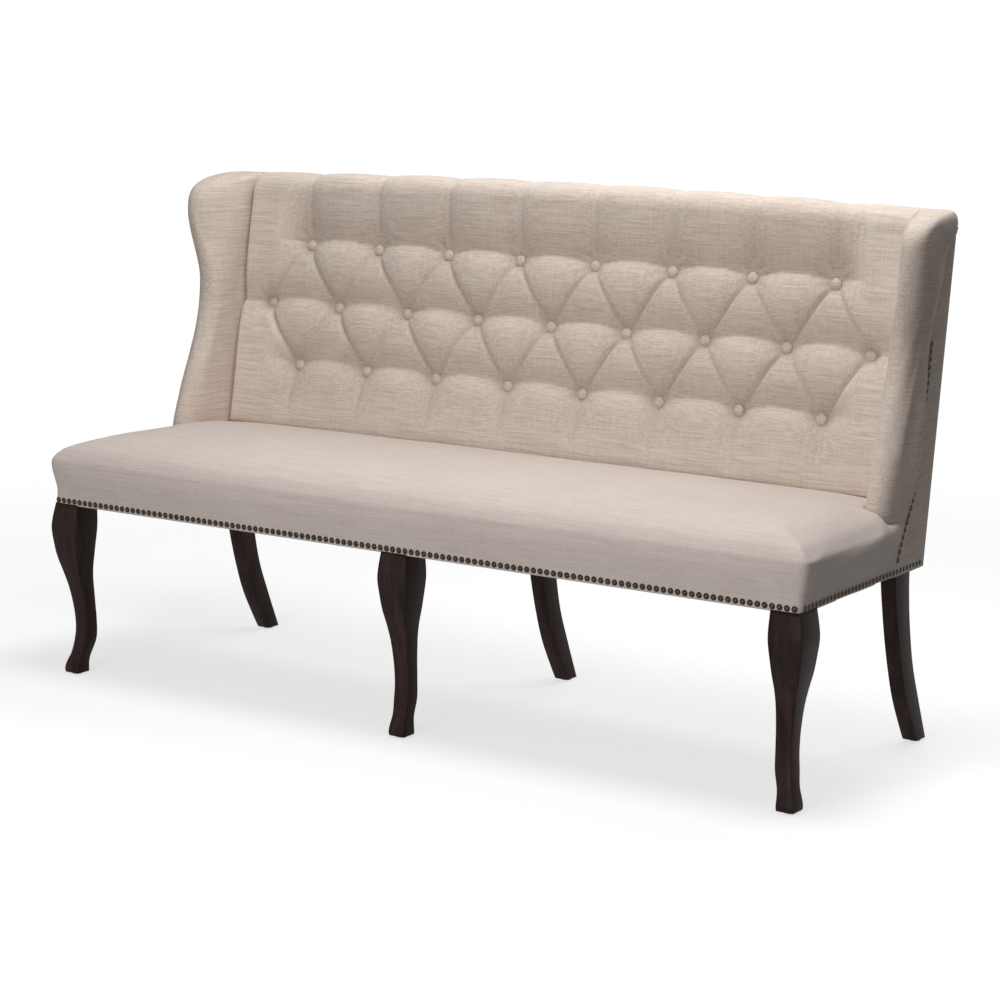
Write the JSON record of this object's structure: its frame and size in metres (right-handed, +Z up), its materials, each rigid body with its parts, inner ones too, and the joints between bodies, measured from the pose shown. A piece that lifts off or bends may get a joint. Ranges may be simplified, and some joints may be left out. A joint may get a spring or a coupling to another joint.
{
  "type": "upholstered dining bench",
  "caption": "Settee-style dining bench: sprung upright seat, button-tufted leaning back, padded wings, nail-head trim, cabriole front legs and sabre rear legs.",
  "frame": {"origin": "on the floor under the middle of the bench's bounding box", "axes": "+Z up, +X along the seat to the right of someone facing the bench, +Y from the front of the seat to its back"},
  "size_m": [1.693, 0.605, 0.99],
  "materials": {
    "frame_wood": "sawn beech",
    "wing_plywood": "sawn birch plywood",
    "spring_steel": "drawn wire",
    "bolt_steel": "zinc plated",
    "deck_cloth": "non-woven cloth",
    "foam": "open-cell foam",
    "webbing": "woven jute",
    "dust_cloth": "non-woven cloth",
    "nail_bronze": "antiqued bronze",
    "dark_wood": "satin espresso lacquer",
    "glide_nylon": "moulded nylon",
    "linen": "slub linen"
  },
  "bodies": {
    "root": {"front_rail": "frame_wood", "rear_rail": "frame_wood", "left_side_rail": "frame_wood", "right_side_rail": "frame_wood", "cross_rails": "frame_wood", "corner_blocks": "frame_wood", "left_back_post": "frame_wood", "right_back_post": "frame_wood", "back_studs": "frame_wood", "back_top_rail": "frame_wood", "back_lower_rail": "frame_wood", "left_wing_board": "wing_plywood", "right_wing_board": "wing_plywood", "spring_clips": "spring_steel", "seat_springs": "spring_steel", "deck_cloth": "deck_cloth", "seat_foam": "foam", "seat_cover": "linen", "back_webbing": "webbing", "back_cushion": "linen", "tuft_buttons": "linen", "outside_back": "linen", "left_wing_pad": "linen", "right_wing_pad": "linen", "left_wing_panel": "linen", "right_wing_panel": "linen", "dust_cover": "dust_cloth", "rail_nails": "nail_bronze", "wing_nails": "nail_bronze", "left_front_leg": "dark_wood", "middle_front_leg": "dark_wood", "right_front_leg": "dark_wood", "left_rear_leg": "dark_wood", "middle_rear_leg": "dark_wood", "right_rear_leg": "dark_wood", "leg_bolts": "bolt_steel", "foot_glides": "glide_nylon"}
  },
  "joints": []
}
